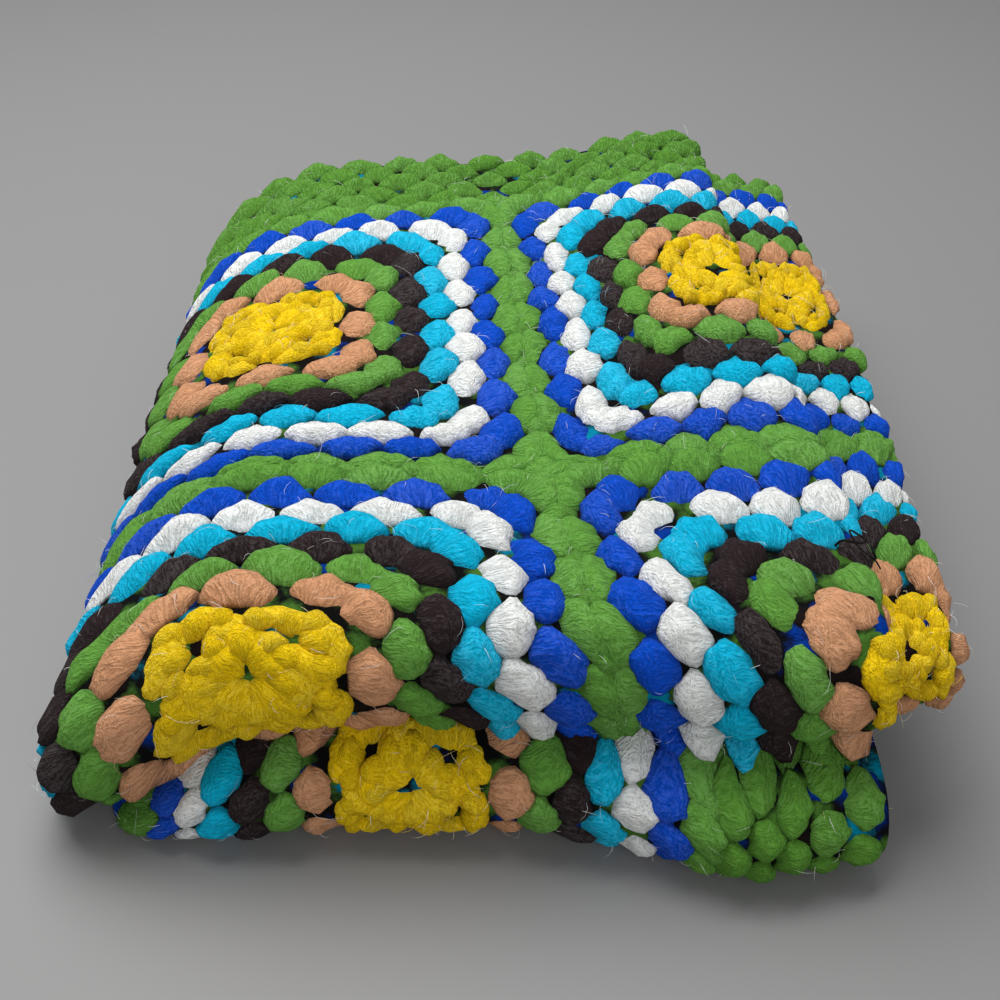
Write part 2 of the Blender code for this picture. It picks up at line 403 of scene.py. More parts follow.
def on_face(name, across, along, rise):
    """Points on a face of the settled strip: across and along it, and raised off it, in metres."""
    face = dict(zip(FACE_COLUMNS, next(row for row in FACES if row[0] == name)))
    y, z, faces, place = strip_place(along)
    side = face["side"]
    x = np.array(across, dtype=float)
    height = np.full_like(x, face["level"] + side * SHEET / 2)
    out_x = np.zeros_like(x)
    out_height = np.full_like(x, float(side))
    if face["right_edge"]:
        centre = edge(face["right_edge"], place) - SHEET / 2 - SHEET_STEP / 2
        turned = np.clip((across - centre) / FOLD_RADIUS, 0.0, math.pi)
        round_fold = across > centre
        left_over = np.maximum(across - centre - math.pi * FOLD_RADIUS, 0.0)
        middle = face["level"] - SHEET_STEP / 2
        x = np.where(round_fold, centre + FOLD_RADIUS * np.sin(turned) - left_over, x)
        height = np.where(round_fold, middle + FOLD_RADIUS * np.cos(turned), height)
        out_x = np.where(round_fold, np.sin(turned), out_x)
        out_height = np.where(round_fold, np.cos(turned), out_height)
    if face["wraps_left"]:
        centre = left_edge(place) + WRAP_RADIUS
        turned = np.clip((centre - across) / WRAP_RADIUS, 0.0, math.pi)
        round_left = across < centre
        left_over = np.maximum(centre - across - math.pi * WRAP_RADIUS, 0.0)
        x = np.where(round_left, centre - WRAP_RADIUS * np.sin(turned) + left_over, x)
        height = np.where(round_left, side * WRAP_RADIUS * np.cos(turned), height)
        out_x = np.where(round_left, -np.sin(turned), out_x)
        out_height = np.where(round_left, side * np.cos(turned), out_height)
    reach = height + out_height * rise
    straight = np.column_stack((x + out_x * rise, y + reach * np.cos(faces), z + reach * np.sin(faces)))
    return settle(straight, lifted=name in ("top", "under"))


# %% [markdown]
# ## The pattern, crocheted flat
# A round of a granny square is a ring of clusters. Each cluster is three posts worked into one space, so it
# is narrow at its foot and wide at its top, and the next round stands in the gaps between the tops. The
# border goes on in the same way along the outer edge. We only need each foot, which way it points and its
# wool.

# %% Sizes of the pattern, and the wools
PITCH = 0.0257  # from cluster to cluster along a round
RISE = 0.0127  # from round to round
HOLE = 0.0054  # from a square's middle to the feet of its first round
SQUARE = 0.240
HALF = SQUARE / 2
BORDER_ROUNDS = 5
BORDER_RISE = 0.0133
CORNER_LEAN = math.radians(19)
POST_LEAN = math.radians(13)
POST_GAP = 0.0074
POST_LONG = 0.80
LOW = -0.0012  # how much lower the stitches lie that only fill a gap
WOOLS = {
    "yellow": (1.0, 0.66, 0.002),
    "peach": (0.70, 0.34, 0.17),
    "green": (0.135, 0.36, 0.050),
    "dark": (0.026, 0.014, 0.015),
    "turquoise": (0.0, 0.52, 0.80),
    "white": (0.93, 0.94, 0.90),
    "blue": (0.0, 0.078, 0.62),
    "border": (0.110, 0.30, 0.034),
}
ROUNDS = ("yellow", "yellow", "peach", "green", "dark", "turquoise", "white", "blue", "green")
ROUND_SIZES = {1: (1.16, 0.98), 2: (1.10, 0.80), 9: (1.08, 0.93)}  # width and length of unusual rounds
TIGHT_ROUNDS = 2  # in these the posts of a cluster stand apart, and the middle closes up
POST_WIDTH = 0.46
WAIST = (0.5, 0.6)  # width and length of the waists between the clusters of a join
BORDER_SIZE = (0.99, 0.93)


# %% Where the clusters stand
def square_clusters(middle_x, middle_y):
    """Feet of the clusters of one square: x, y, turn, width, length, lift and wool."""
    for number, wool in enumerate(ROUNDS, start=1):
        foot = HOLE + RISE * (number - 1)
        wide, long = ROUND_SIZES.get(number, (1.0, 1.0))
        row = [((i - (number - 1) / 2) * PITCH, foot, wide, long, 0.0) for i in range(number)]
        leans = [0.0] * number
        if number > 1:
            leans[0], leans[-1] = CORNER_LEAN, -CORNER_LEAN
        if number <= TIGHT_ROUNDS:
            shifts = [place[0] + post * POST_GAP for place in row for post in (-1, 0, 1)]
            leans += [lean - post * POST_LEAN for lean in leans for post in (-1, 0, 1)]
            low = [(*place[:4], LOW) for place in row]
            row = low + [(shift, foot, POST_WIDTH, long * POST_LONG, 0.0) for shift in shifts]
            row.append((0.0, foot - HOLE * 0.8, wide * 0.9, long, LOW))
            leans.append(math.pi / 4)
        if number == len(ROUNDS):  # the waists between the clusters of a join, and the square's corner
            gaps = [(i - (number - 2) / 2) * PITCH for i in range(number - 1)]
            row += [(gap, foot + RISE * 0.45, *WAIST, LOW) for gap in gaps]
            row.append((number / 2 * PITCH, foot + RISE * 0.5, 1.1, 1.0, LOW))
            leans += [0.0] * len(gaps) + [-math.pi / 4]
        for side in range(4):
            turn = -side * math.pi / 2
            for (shift, out, width, length, lift), lean in zip(row, leans):
                x = middle_x + shift * math.cos(turn) - out * math.sin(turn)
                y = middle_y + shift * math.sin(turn) + out * math.cos(turn)
                yield x, y, turn + lean, width, length, lift, wool


def border_clusters(middle_x, edge_y, turn):
    """Feet of the border's clusters over one square, whose outer edge lies at edge_y when turn is zero."""
    for row in range(BORDER_ROUNDS):
        count = len(ROUNDS) - (row + 1) % 2
        shifts = [(i - (count - 1) / 2) * PITCH for i in range(count)]
        if row % 2 == 0:
            shifts.append(HALF)
        for shift in shifts:
            along, out = middle_x + shift, edge_y + row * BORDER_RISE - RISE * 0.15
            x = along * math.cos(turn) - out * math.sin(turn)
            y = along * math.sin(turn) + out * math.cos(turn)
            yield x, y, turn, *BORDER_SIZE, 0.0, "border"


print("clusters in a square", len(list(square_clusters(0, 0))))

# %% [markdown]
# ## Where the squares lie on the folds
# The cloth was not folded exactly along its rows, and wool stretches. So on the top face the corners and
# middles of the squares are placed by a small table, and everything between them follows smoothly. The
# table's values started as a least-squares fit by another program, and most are within 3 mm of what it
# gave. On the other faces the cloth runs straight, and one place and one stretch each way are enough.

# %% The squares on the top face
TOP_ROWS = (0.3065, 0.240, 0.120, 0.0, -0.120, -0.240)  # rows of the table, up the pattern
TOP_COLUMNS = (-0.240, -0.120, 0.0, 0.120, 0.240)  # its columns, across the pattern
TOP_ACROSS = (
    (-0.250, -0.126, -0.009, 0.094, 0.196),
    (-0.250, -0.122, -0.003, 0.100, 0.204),
    (-0.250, -0.114, 0.009, 0.111, 0.222),
    (-0.252, -0.108, 0.020, 0.128, 0.250),
    (-0.248, -0.094, 0.042, 0.176, 0.300),
    (-0.235, -0.083, 0.064, 0.210, 0.340),
)
TOP_ALONG = (
    (0.003, 0.003, 0.003, 0.003, 0.003),
    (0.074, 0.074, 0.065, 0.058, 0.056),
    (0.196, 0.202, 0.196, 0.176, 0.168),
    (0.316, 0.324, 0.326, 0.308, 0.296),
    (0.434, 0.437, 0.444, 0.444, 0.436),
    (0.560, 0.560, 0.556, 0.558, 0.556),
)


def cubic_weights(places, at):
    """How much each place of a table counts at a value: a smooth curve through the places."""
    unit = np.eye(len(places))
    return np.stack([smooth_table(np.array(places), unit[i], at) for i in range(len(places))], axis=-1)


def on_top_face(x, y):
    """From the flat pattern to the top face: across and along."""
    rows = cubic_weights(TOP_ROWS[::-1], y)[:, ::-1]
    columns = cubic_weights(TOP_COLUMNS, x)
    across = np.einsum("nr,nc,rc->n", rows, columns, np.array(TOP_ACROSS))
    along = np.einsum("nr,nc,rc->n", rows, columns, np.array(TOP_ALONG))
    across = across + np.clip(x - TOP_COLUMNS[-1], 0, None) + np.clip(x - TOP_COLUMNS[0], None, 0)
    along = along - np.clip(y - TOP_ROWS[0], 0, None) - np.clip(y - TOP_ROWS[-1], None, 0)
    return across, along


# %% Every face with stitches on it
OPEN_SINK = -0.0018  # how much lower the clusters of an open edge lie
CHART_COLUMNS = (
    "name", "face", "x_at", "x_scale", "y_at", "y_scale", "square_x", "square_y", "border",
    "across_from", "across_to", "along_from", "along_to", "lift",
)
CHARTS = (
    # the top, the left edge and the upper nose
    ("top", "top", 0, 0, 0, 0, -HALF, HALF, "back", -0.214, 0.168, -0.002, 0.505, 0.0),
    # the pleat that stands out at the right
    ("pleat", "next", 0.156, 0.62, 0.281, -1.14, 0.0, HALF, "back", 0.100, 0.197, -0.002, 0.500, 0.0),
    # the lower nose, the floor and the back turn
    ("lower", "outer", -0.035, 0.97, 1.3835, 1.0, 0.0, 0.0, "right", -0.176, 0.158, 0.835, 1.450, 0.0),
    # the edges that show at the sides, further along the strip
    ("top left", "top", 0, 0, 0, 0, -HALF, HALF, "back", -0.214, -0.165, 0.505, 0.860, 0.0),
    ("top right", "top", 0, 0, 0, 0, -HALF, HALF, "back", 0.128, 0.168, 0.505, 1.760, -0.001),
    ("pleat right", "next", 0.150, 1.0, 0.281, -1.0, 0.0, HALF, "back", 0.132, 0.190, 0.500, 1.760, -0.001),
    ("inner left", "outer", -0.035, 0.97, 1.3835, 1.0, 0.0, 0.0, "right", -0.176, -0.136, 1.450, 1.760, 0.0),
    ("open edge", "outer", -0.035, 0.97, 1.3835, 1.0, 0.0, 0.0, "right", 0.130, 0.149, 0.0, 0.835, OPEN_SINK),
)
BORDER_EDGE = 0.3095  # where the border ends in the pattern
OPEN_ALONG = (-0.004, 0.014)
OPEN_ENDS = (  # the sheets' open ends at the back: face, x_at, and their limits across
    ("under", 0.0, -0.165, 0.110),
    ("next", 0.013, -0.165, 0.100),
    ("fourth", 0.0, -0.160, 0.165),
    ("outer", 0.013, -0.170, 0.145),
)
CHARTS += tuple(
    (face + " end", face, x_at, 1.0, BORDER_EDGE, -1.0, -HALF, HALF, "back", *limits, *OPEN_ALONG, OPEN_SINK)
    for face, x_at, *limits in OPEN_ENDS
)


def chart_value(chart, name):
    """One named value of a chart."""
    return chart[CHART_COLUMNS.index(name)]


def onto_face(chart, x, y):
    """From the flat pattern to a chart's face: across and along."""
    if chart_value(chart, "face") == "top":
        return on_top_face(x, y)
    across = chart_value(chart, "x_at") + chart_value(chart, "x_scale") * x
    along = chart_value(chart, "y_at") + chart_value(chart, "y_scale") * y
    return across, along


def pattern_places(chart):
    """All clusters of a chart that lie inside its limits, as rows of numbers, with their wools."""
    reach = range(-7, 8)
    first_x, first_y = chart_value(chart, "square_x"), chart_value(chart, "square_y")
    border = chart_value(chart, "border")
    rows = []
    for i in reach:
        for j in reach:
            if border == "back" and first_y + j * SQUARE > HALF + 0.01:
                continue
            if border == "right" and i > 0:
                continue
            rows += square_clusters(first_x + i * SQUARE, first_y + j * SQUARE)
    for i in reach:
        if border == "back":
            rows += border_clusters(first_x + i * SQUARE, SQUARE, 0.0)
        if border == "right":
            rows += border_clusters(first_y + i * SQUARE, first_x + HALF, -math.pi / 2)
    numbers = np.array([row[:6] for row in rows])
    wools = np.array([row[6] for row in rows])
    middle_x = numbers[:, 0] - np.sin(numbers[:, 2]) * RISE / 2
    middle_y = numbers[:, 1] + np.cos(numbers[:, 2]) * RISE / 2
    across, along = onto_face(chart, middle_x, middle_y)
    keep = (across > chart_value(chart, "across_from")) & (across < chart_value(chart, "across_to"))
    keep &= (along > chart_value(chart, "along_from")) & (along < chart_value(chart, "along_to"))
    return numbers[keep], wools[keep]


for chart in CHARTS:
    print(chart_value(chart, "name"), "has", len(pattern_places(chart)[0]), "clusters")


# %% [markdown]
# ## One cluster
# A cluster is a plump little fan: three posts side by side and a braid of chain stitches over their tops. One
# closed mesh serves for all of them, and one with fewer points for single posts and waists. The UV map runs
# across the posts and from foot to top, so that the wool's strands can follow it later.

# %% The cluster's mesh
CLUSTER_WIDTH = 0.0280
CLUSTER_LENGTH = 0.0186
CLUSTER_THICKNESS = 0.0082
CLUSTER_SINK = -0.0040  # its underside, below the face of the cloth
POSTS = 3
FOOT = 0.60  # share of its width at its foot
TAPER = 0.30  # share of its width lost at its top
SHOULDER = 0.24  # how far its sides hang back from its top, as a share of its length
SCALLOP = 0.05  # how far the posts stand out of its top edge, as a share of its length
POST_GROOVE, BRAID_GROOVE = 0.13, 0.07
POINTS = (17, 9)  # across and along a cluster
SMALL_POINTS = (12, 8)  # the same on a single post or a waist
SMALL_WIDTH = 0.7  # clusters narrower than this share of the usual width are made with fewer points


def cluster_mesh(across_points, along_points):
    """A cluster with its foot at the origin, its top towards +Y, and its plump side up."""
    across = np.sin(np.linspace(-math.pi / 2, math.pi / 2, across_points))
    along = (1 - np.cos(np.linspace(0, math.pi, along_points))) / 2
    side, way = np.meshgrid(across, along)
    half_width = CLUSTER_WIDTH / 2 * (FOOT + (1 - FOOT) * ease(way, 0.0, 0.50))
    half_width = half_width * (1 - TAPER * ease(way, 0.66, 1.0))
    x = side * half_width
    lobes = np.abs(np.cos(math.pi * POSTS / 2 * side))
    scallop = SCALLOP * (lobes - 0.6) * ease(way, 0.7, 1.0)
    y = CLUSTER_LENGTH * (way - SHOULDER * way * side**2 + scallop)
    across_dome = (1 - np.abs(side) ** 2.3) ** 0.60
    along_dome = (1 - np.abs(2 * np.clip(way, 0.5, 1.0) - 1) ** 3.0) ** 0.55
    along_dome = along_dome * (0.35 + 0.65 * ease(way, -0.1, 0.6))
    posts = 1 - POST_GROOVE * (1 - lobes) * (1 - 0.55 * ease(way, 0.60, 0.80))
    braid = 1 - BRAID_GROOVE * np.exp(-(((way - 0.64) / 0.07) ** 2))
    relief = across_dome * along_dome * posts * braid * ease(way, -0.02, 0.02)
    z = CLUSTER_SINK + CLUSTER_THICKNESS * relief
    index = np.arange(along_points * across_points).reshape(along_points, across_points)
    faces = [
        (index[j, i], index[j, i + 1], index[j + 1, i + 1], index[j + 1, i])
        for j in range(along_points - 1) for i in range(across_points - 1)
    ]
    rim = [*index[0], *index[1:, -1], *index[-1, -2::-1], *index[-2:0:-1, 0]]
    faces.append(rim[::-1])
    mesh = bpy.data.meshes.new("cluster")
    points = np.column_stack((x.ravel(), y.ravel(), z.ravel()))
    mesh.from_pydata(points.tolist(), [], [list(map(int, face)) for face in faces])
    flat = np.column_stack(((side.ravel() + 1) / 2, way.ravel())).astype(np.float32)
    corners = [loop.vertex_index for loop in mesh.loops]
    mesh.uv_layers.new(name="UVMap").data.foreach_set("uv", flat[corners].ravel())
    stored = mesh.attributes.new("relief", "FLOAT", "POINT")
    stored.data.foreach_set("value", relief.ravel().astype(np.float32))
    mesh.shade_smooth()
    return mesh


cluster = bpy.data.objects.new("cluster", cluster_mesh(*POINTS))
small_cluster = bpy.data.objects.new("small cluster", cluster_mesh(*SMALL_POINTS))
print("triangles in a cluster", triangles(cluster.data), "and in a small one", triangles(small_cluster.data))

# %% [markdown]
# ## Geometry Nodes crochet the rows
# Every foot is a point that knows its turn, its width and length, and which chart it belongs to. One small
# node tree puts a cluster on each, a little uneven as hand work is, and gives each its own tone. Every wool
# has its fixed seed, so that the blanket is the same each time.

# %% The node tree
UNEVEN_TILT = 0.05


def stitch_tree():
    """A node group that puts clusters on points."""
    tree = bpy.data.node_groups.new("crochet clusters", "GeometryNodeTree")
    face = tree.interface
    face.new_socket("Geometry", in_out="INPUT", socket_type="NodeSocketGeometry")
    face.new_socket("Cluster", in_out="INPUT", socket_type="NodeSocketObject")
    for name in ("Uneven Size", "Uneven Turn"):
        face.new_socket(name, in_out="INPUT", socket_type="NodeSocketFloat")
    face.new_socket("Seed", in_out="INPUT", socket_type="NodeSocketInt")
    face.new_socket("Wool", in_out="INPUT", socket_type="NodeSocketMaterial")
    face.new_socket("Geometry", in_out="OUTPUT", socket_type="NodeSocketGeometry")

    def node(kind, settings=None, **links):
        made = tree.nodes.new(kind)
        for name, value in (settings or {}).items():
            setattr(made, name, value)
        for name, value in links.items():
            fill(tree, made.inputs[name.replace("_", " ")], value)
        return made

    def named(name):
        return node("GeometryNodeInputNamedAttribute", {"data_type": "FLOAT"}, Name=name).outputs["Attribute"]

    def maths(operation, first, second):
        made = tree.nodes.new("ShaderNodeMath")
        made.operation = operation
        for socket, value in zip(made.inputs, (first, second)):
            fill(tree, socket, value)
        return made.outputs[0]

    given = tree.nodes.new("NodeGroupInput").outputs

    def uneven(number, amount):
        """A random value from minus amount to amount, another for each number."""
        seed = maths("ADD", given["Seed"], number)
        random = node("FunctionNodeRandomValue", {"data_type": "FLOAT"}, Seed=seed)
        return maths("MULTIPLY", maths("SUBTRACT", maths("MULTIPLY", random.outputs[1], 2.0), 1.0), amount)

    turn = maths("ADD", named("turn"), uneven(1, given["Uneven Turn"]))
    rotation = node("ShaderNodeCombineXYZ", X=uneven(2, UNEVEN_TILT), Y=uneven(3, UNEVEN_TILT), Z=turn)
    wide = maths("MULTIPLY", named("wide"), maths("ADD", uneven(4, given["Uneven Size"]), 1.0))
    long = maths("MULTIPLY", named("long"), maths("ADD", uneven(5, given["Uneven Size"]), 1.0))
    plump = maths("ADD", uneven(6, given["Uneven Size"]), 1.0)
    scale = node("ShaderNodeCombineXYZ", X=wide, Y=long, Z=plump)
    shape = node("GeometryNodeObjectInfo", Object=given["Cluster"])
    placed = node(
        "GeometryNodeInstanceOnPoints", Points=given["Geometry"], Instance=shape.outputs["Geometry"],
        Rotation=rotation.outputs[0], Scale=scale.outputs[0],
    )
    toned = node(
        "GeometryNodeStoreNamedAttribute", {"data_type": "FLOAT", "domain": "INSTANCE"},
        Geometry=placed.outputs[0], Name="tone", Value=uneven(7, 1.0),
    )
    solid = node("GeometryNodeRealizeInstances", Geometry=toned.outputs[0])
    dyed = node("GeometryNodeSetMaterial", Geometry=solid.outputs[0], Material=given["Wool"])
    out = tree.nodes.new("NodeGroupOutput")
    tree.links.new(dyed.outputs[0], out.inputs[0])
    return tree


stitches = stitch_tree()
print("nodes in the tree", len(stitches.nodes))


# %% From points to a mesh
def grown(name, points, attributes, settings):
    """Runs the tree on points with attributes and gives back a plain mesh."""
    mesh = bpy.data.meshes.new(name)
    mesh.from_pydata(points.tolist(), [], [])
    for key, values in attributes.items():
        stored = mesh.attributes.new(key, "FLOAT", "POINT")
        stored.data.foreach_set("value", np.asarray(values, dtype=np.float32))
    thing = in_scene(name, mesh)
    modifier = thing.modifiers.new("crochet", "NODES")
    modifier.node_group = stitches
    for socket in stitches.interface.items_tree:
        if socket.in_out == "INPUT" and socket.name in settings:
            modifier[socket.identifier] = settings[socket.name]
    depsgraph = bpy.context.evaluated_depsgraph_get()
    result = bpy.data.meshes.new_from_object(thing.evaluated_get(depsgraph), depsgraph=depsgraph)
    bpy.data.objects.remove(thing)
    result.name = name
    return result


# %% [markdown]
# ## The wool
# Wool in a cluster is plied yarn: strands run up the posts and cross the top as a braid of small V shapes.
# Those strands are too fine to model, so they are a bump that follows each cluster's UV map. The hollows
# between clusters are darkened with painted shade, the grooves between strands get painted shade and their
# raised tops a painted highlight, and each cluster has its own tone.

# %% A helper for shader maths
class Value:
    """A number socket that can be used in Python expressions."""

    def __init__(self, shader, socket):
        self.shader, self.socket = shader, socket

    def maths(self, operation, other=None, swap=False):
        node = self.shader.tree.nodes.new("ShaderNodeMath")
        node.operation = operation
        values = [self] if other is None else ([other, self] if swap else [self, other])
        for socket, value in zip(node.inputs, values):
            self.shader.put(socket, value)
        return Value(self.shader, node.outputs[0])

    def __add__(self, other):
        return self.maths("ADD", other)

    def __radd__(self, other):
        return self.maths("ADD", other, True)

    def __sub__(self, other):
        return self.maths("SUBTRACT", other)

    def __rsub__(self, other):
        return self.maths("SUBTRACT", other, True)

    def __mul__(self, other):
        return self.maths("MULTIPLY", other)

    def __rmul__(self, other):
        return self.maths("MULTIPLY", other, True)


class Shader:
    """A material's node tree, with one method for every kind of node."""

    def __init__(self, name):
        self.material = bpy.data.materials.new(name)
        self.material.use_nodes = True
        self.tree = self.material.node_tree
        self.principled = self.tree.nodes["Principled BSDF"]

    def put(self, socket, value):
        fill(self.tree, socket, value.socket if isinstance(value, Value) else value)

    def finish(self, **values):
        """Sets the material's plain or varying inputs, and gives it back."""
        for name, value in values.items():
            self.put(self.principled.inputs[name.replace("_", " ")], value)
        return self.material

    def node(self, kind, settings=None, sockets=None):
        made = self.tree.nodes.new(kind)
        for name, value in (settings or {}).items():
            setattr(made, name, value)
        for name, value in (sockets or {}).items():
            self.put(made.inputs[name], value)
        return made

    def value(self, kind, output, settings=None, sockets=None):
        return Value(self, self.node(kind, settings, sockets).outputs[output])

    def noise(self, vector, scale, detail, roughness=0.5):
        sockets = {"Vector": vector, "Scale": scale, "Detail": detail, "Roughness": roughness}
        return self.value("ShaderNodeTexNoise", "Fac", sockets=sockets)

    def vector(self, x, y, z):
        return self.node("ShaderNodeCombineXYZ", sockets={"X": x, "Y": y, "Z": z}).outputs[0]

    def bump(self, distance, height):
        sockets = {"Strength": 1.0, "Distance": distance, "Height": height}
        return self.node("ShaderNodeBump", sockets=sockets).outputs[0]

    def step(self, value, start, end):
        """0 below start, 1 above end."""
        sockets = {"Value": value, "From Min": start, "From Max": end}
        return self.value("ShaderNodeMapRange", 0, {"interpolation_type": "SMOOTHSTEP"}, sockets)

    def mix(self, factor, first, second):
        made = self.node("ShaderNodeMix", {"data_type": "RGBA"})
        for index, value in ((0, factor), (6, first), (7, second)):
            self.put(made.inputs[index], value)
        return made.outputs[2]


def shade(colour, factor):
    """A colour made lighter or darker."""
    return tuple(min(1.0, channel * factor) for channel in colour) + (1.0,)


# %% The yarn's finish
FUZZ_SCALE = 820.0
WOOL_ROUGHNESS = 0.97
WOOL_SHINE = 0.06


def yarn(name, colour):
    """Plied wool on the clusters."""
    s = Shader(name)
    uv = s.node("ShaderNodeUVMap", {"uv_map": "UVMap"}).outputs["UV"]
    parts = s.node("ShaderNodeSeparateXYZ", sockets={"Vector": uv})
    u, v = Value(s, parts.outputs[0]), Value(s, parts.outputs[1])
    relief = s.value("ShaderNodeAttribute", "Fac", {"attribute_name": "relief"})
    tone = s.value("ShaderNodeAttribute", "Fac", {"attribute_name": "tone"})
    place = s.node("ShaderNodeTexCoord").outputs["Object"]
    wander = s.noise(place, 210.0, 3.0)
    fuzz = s.noise(place, FUZZ_SCALE, 5.0, 0.7)

    bend = (wander - 0.5) * 5.0
    posts = s.noise(s.vector(u * 34.0 + bend * 0.6, v * 4.5, tone * 37.0), 1.0, 2.0)
    braid = s.noise(s.vector(u * 15.0, v * 24.0 + bend, tone * 41.0), 1.0, 2.0)
    on_top = s.step(v + (wander - 0.5) * 0.5, 0.50, 0.72)
    strands = s.step(posts * (1 - on_top) + braid * on_top, 0.32, 0.68)

    # painted shade: the wool darkens towards the low rims and foot of each cluster, where the hollows between clusters
    # lie
    painted_rim_shade = s.step(relief + (wander - 0.5) * 0.25, 0.06, 0.62)
    body = s.mix(painted_rim_shade, shade(colour, 0.22), shade(colour, 1.0))
    # painted shade in the grooves between the strands, where the bump is low
    painted_groove_shade = s.step(strands * 0.7 + fuzz, 0.42, 0.90)
    body = s.mix(painted_groove_shade, s.mix(0.45, body, shade(colour, 0.35)), body)
    # painted highlight: the strands' raised tops are paler and brighter, a little more on some clusters by their own
    # tone
    painted_highlight = s.step(strands * 0.35 + fuzz * 1.1 + tone * 0.14, 0.62, 1.12)
    body = s.mix(painted_highlight * 0.55, body, shade(tuple(c * 0.86 + 0.06 for c in colour), 1.25))
    return s.finish(
        Base_Color=body, Roughness=WOOL_ROUGHNESS, Specular_IOR_Level=WOOL_SHINE,
        Sheen_Weight=0.08, Sheen_Roughness=0.6, Sheen_Tint=shade(tuple(0.7 * c + 0.2 for c in colour), 1.0),
        Normal=s.bump(0.0011, strands * 0.7 + fuzz * 1.4 + wander * 0.8),
    )


wools = {name: yarn(name + " wool", colour) for name, colour in WOOLS.items()}
print("wools", ", ".join(wools))

# %% [markdown]
# ## Folding the clusters
# Now the flat clusters go onto the folds. Every point of every cluster is mapped on its own, so a cluster
# bends over an edge as soft wool does.

# %% Folding points
FLOOR_CLEARANCE = 0.0004
WOBBLES = ((0.011, 0.00035), (0.061, 0.0007))  # size of the waves, and how far they move a point


def wobble(points, size, amount):
    """A smooth unevenness of the flat work: a few crossing waves of about a size, in metres."""
    moved = points.copy()
    for k, (across, along, up) in enumerate(((1.0, 0.35, 0.6), (-0.45, 1.1, 0.9), (0.8, -0.9, 0.4))):
        phase = 2 * math.pi / size * (across * points[:, 0] + along * points[:, 1]) + 1.7 * k
        moved[:, 0] += amount * np.sin(phase + 0.8)
        moved[:, 1] += amount * np.cos(phase * 1.13)
        moved[:, 2] += amount * up * np.sin(phase * 0.87 + 2.1)
    return moved


def folded_points(points, charts):
    """Flat points, with the number of the chart of each, on the settled folds."""
    for size, amount in WOBBLES:
        points = wobble(points, size, amount)
    out = np.empty_like(points)
    for number, chart in enumerate(CHARTS):
        mine = charts == number
        if mine.any():
            across, along = onto_face(chart, points[mine, 0], points[mine, 1])
            out[mine] = on_face(chart_value(chart, "face"), across, along, points[mine, 2])
    out[:, 2] = np.maximum(out[:, 2], FLOOR_CLEARANCE)
    return out


# %% Clusters of each wool, folded
FIRST_SEED = 20
pieces = {}
places = [pattern_places(chart) for chart in CHARTS]
numbers = np.concatenate([rows for rows, names in places])
names = np.concatenate([names for rows, names in places])
chart_numbers = np.repeat(np.arange(len(CHARTS)), [len(rows) for rows, names in places])
numbers[:, 5] += np.array([chart_value(CHARTS[c], "lift") for c in chart_numbers])
is_small = numbers[:, 3] < SMALL_WIDTH


def stitch_piece(name, mine, settings):
    """One piece: the chosen clusters, crocheted flat and then folded point by point."""
    rows = numbers[mine]
    attributes = {"turn": rows[:, 2], "wide": rows[:, 3], "long": rows[:, 4], "chart": chart_numbers[mine]}
    mesh = grown(name, rows[:, (0, 1, 5)], attributes, settings)
    charts = np.rint(read(mesh.attributes["chart"].data, "value")).astype(int)
    move_points(mesh, folded_points(read(mesh.vertices, "co", 3).astype(float), charts))
    mesh.update()
    print(name, len(rows), "clusters,", triangles(mesh), "triangles")
    return in_scene(name, mesh)


for seed, (wool, material) in enumerate(wools.items(), start=FIRST_SEED):
    settings = {"Cluster": cluster, "Uneven Size": 0.06, "Uneven Turn": 0.09, "Seed": seed, "Wool": material}
    mine = names == wool
    pieces["stitches_" + wool] = stitch_piece("stitches_" + wool, mine & ~is_small, settings)
    if (mine & is_small).any():
        settings["Cluster"] = small_cluster
        pieces["small_" + wool] = stitch_piece("small_" + wool, mine & is_small, settings)

# %% [markdown]
# ## Loose fibres
# Old wool sheds. Short fine fibres stand off the clusters, most of them pale, and one end of yarn has come
# loose near the right of the front. All the fibres are one joined mesh of thin three-sided tubes, tapered and
# closed. They're drawn at random with a fixed seed.

# %% Tubes and fibres
FIBRES = 300  # on each piece
FIBRE_RADIUS = 0.00009
FIBRE_LENGTHS = (0.003, 0.0075)
FIBRE_RISES = (0.0006, 0.0018)
FIBRE_STEPS = ((0.0, -0.2), (0.35, 0.7), (0.7, 1.0), (1.0, 0.5))  # parts of its length and of its rise
FIBRE_THICKNESS = (1.0, 1.0, 0.8, 0.4)  # at each step
FIBRE_SIDES = 3
FIBRE_SEED = 61


def tube_mesh(name, paths, radii, sides):
    """Closed tubes along paths that all have the same number of points."""
    paths = np.asarray(paths, dtype=float)
    count, length = paths.shape[:2]
    ways = np.gradient(paths, axis=1)
    ways /= np.linalg.norm(ways, axis=2, keepdims=True)
    first = np.cross(ways, (0.31, 0.53, 0.79))
    first /= np.linalg.norm(first, axis=2, keepdims=True)
    second = np.cross(ways, first)
    turns = 2 * math.pi * np.arange(sides) / sides
    radii = np.broadcast_to(radii, (count, length))[:, :, None, None]
    ring = first[:, :, None] * np.cos(turns)[:, None] + second[:, :, None] * np.sin(turns)[:, None]
    points = (paths[:, :, None] + radii * ring).reshape(-1, 3)
    index = np.arange(len(points)).reshape(count, length, sides)
    after = np.roll(index, -1, axis=2)
    walls = np.stack((index[:, :-1], after[:, :-1], after[:, 1:], index[:, 1:]), axis=-1).reshape(-1, 4)
    faces = walls.tolist() + index[:, 0, ::-1].tolist() + index[:, -1].tolist()
    mesh = bpy.data.meshes.new(name)
    mesh.from_pydata(points.tolist(), [], faces)
    mesh.shade_smooth()
    return mesh


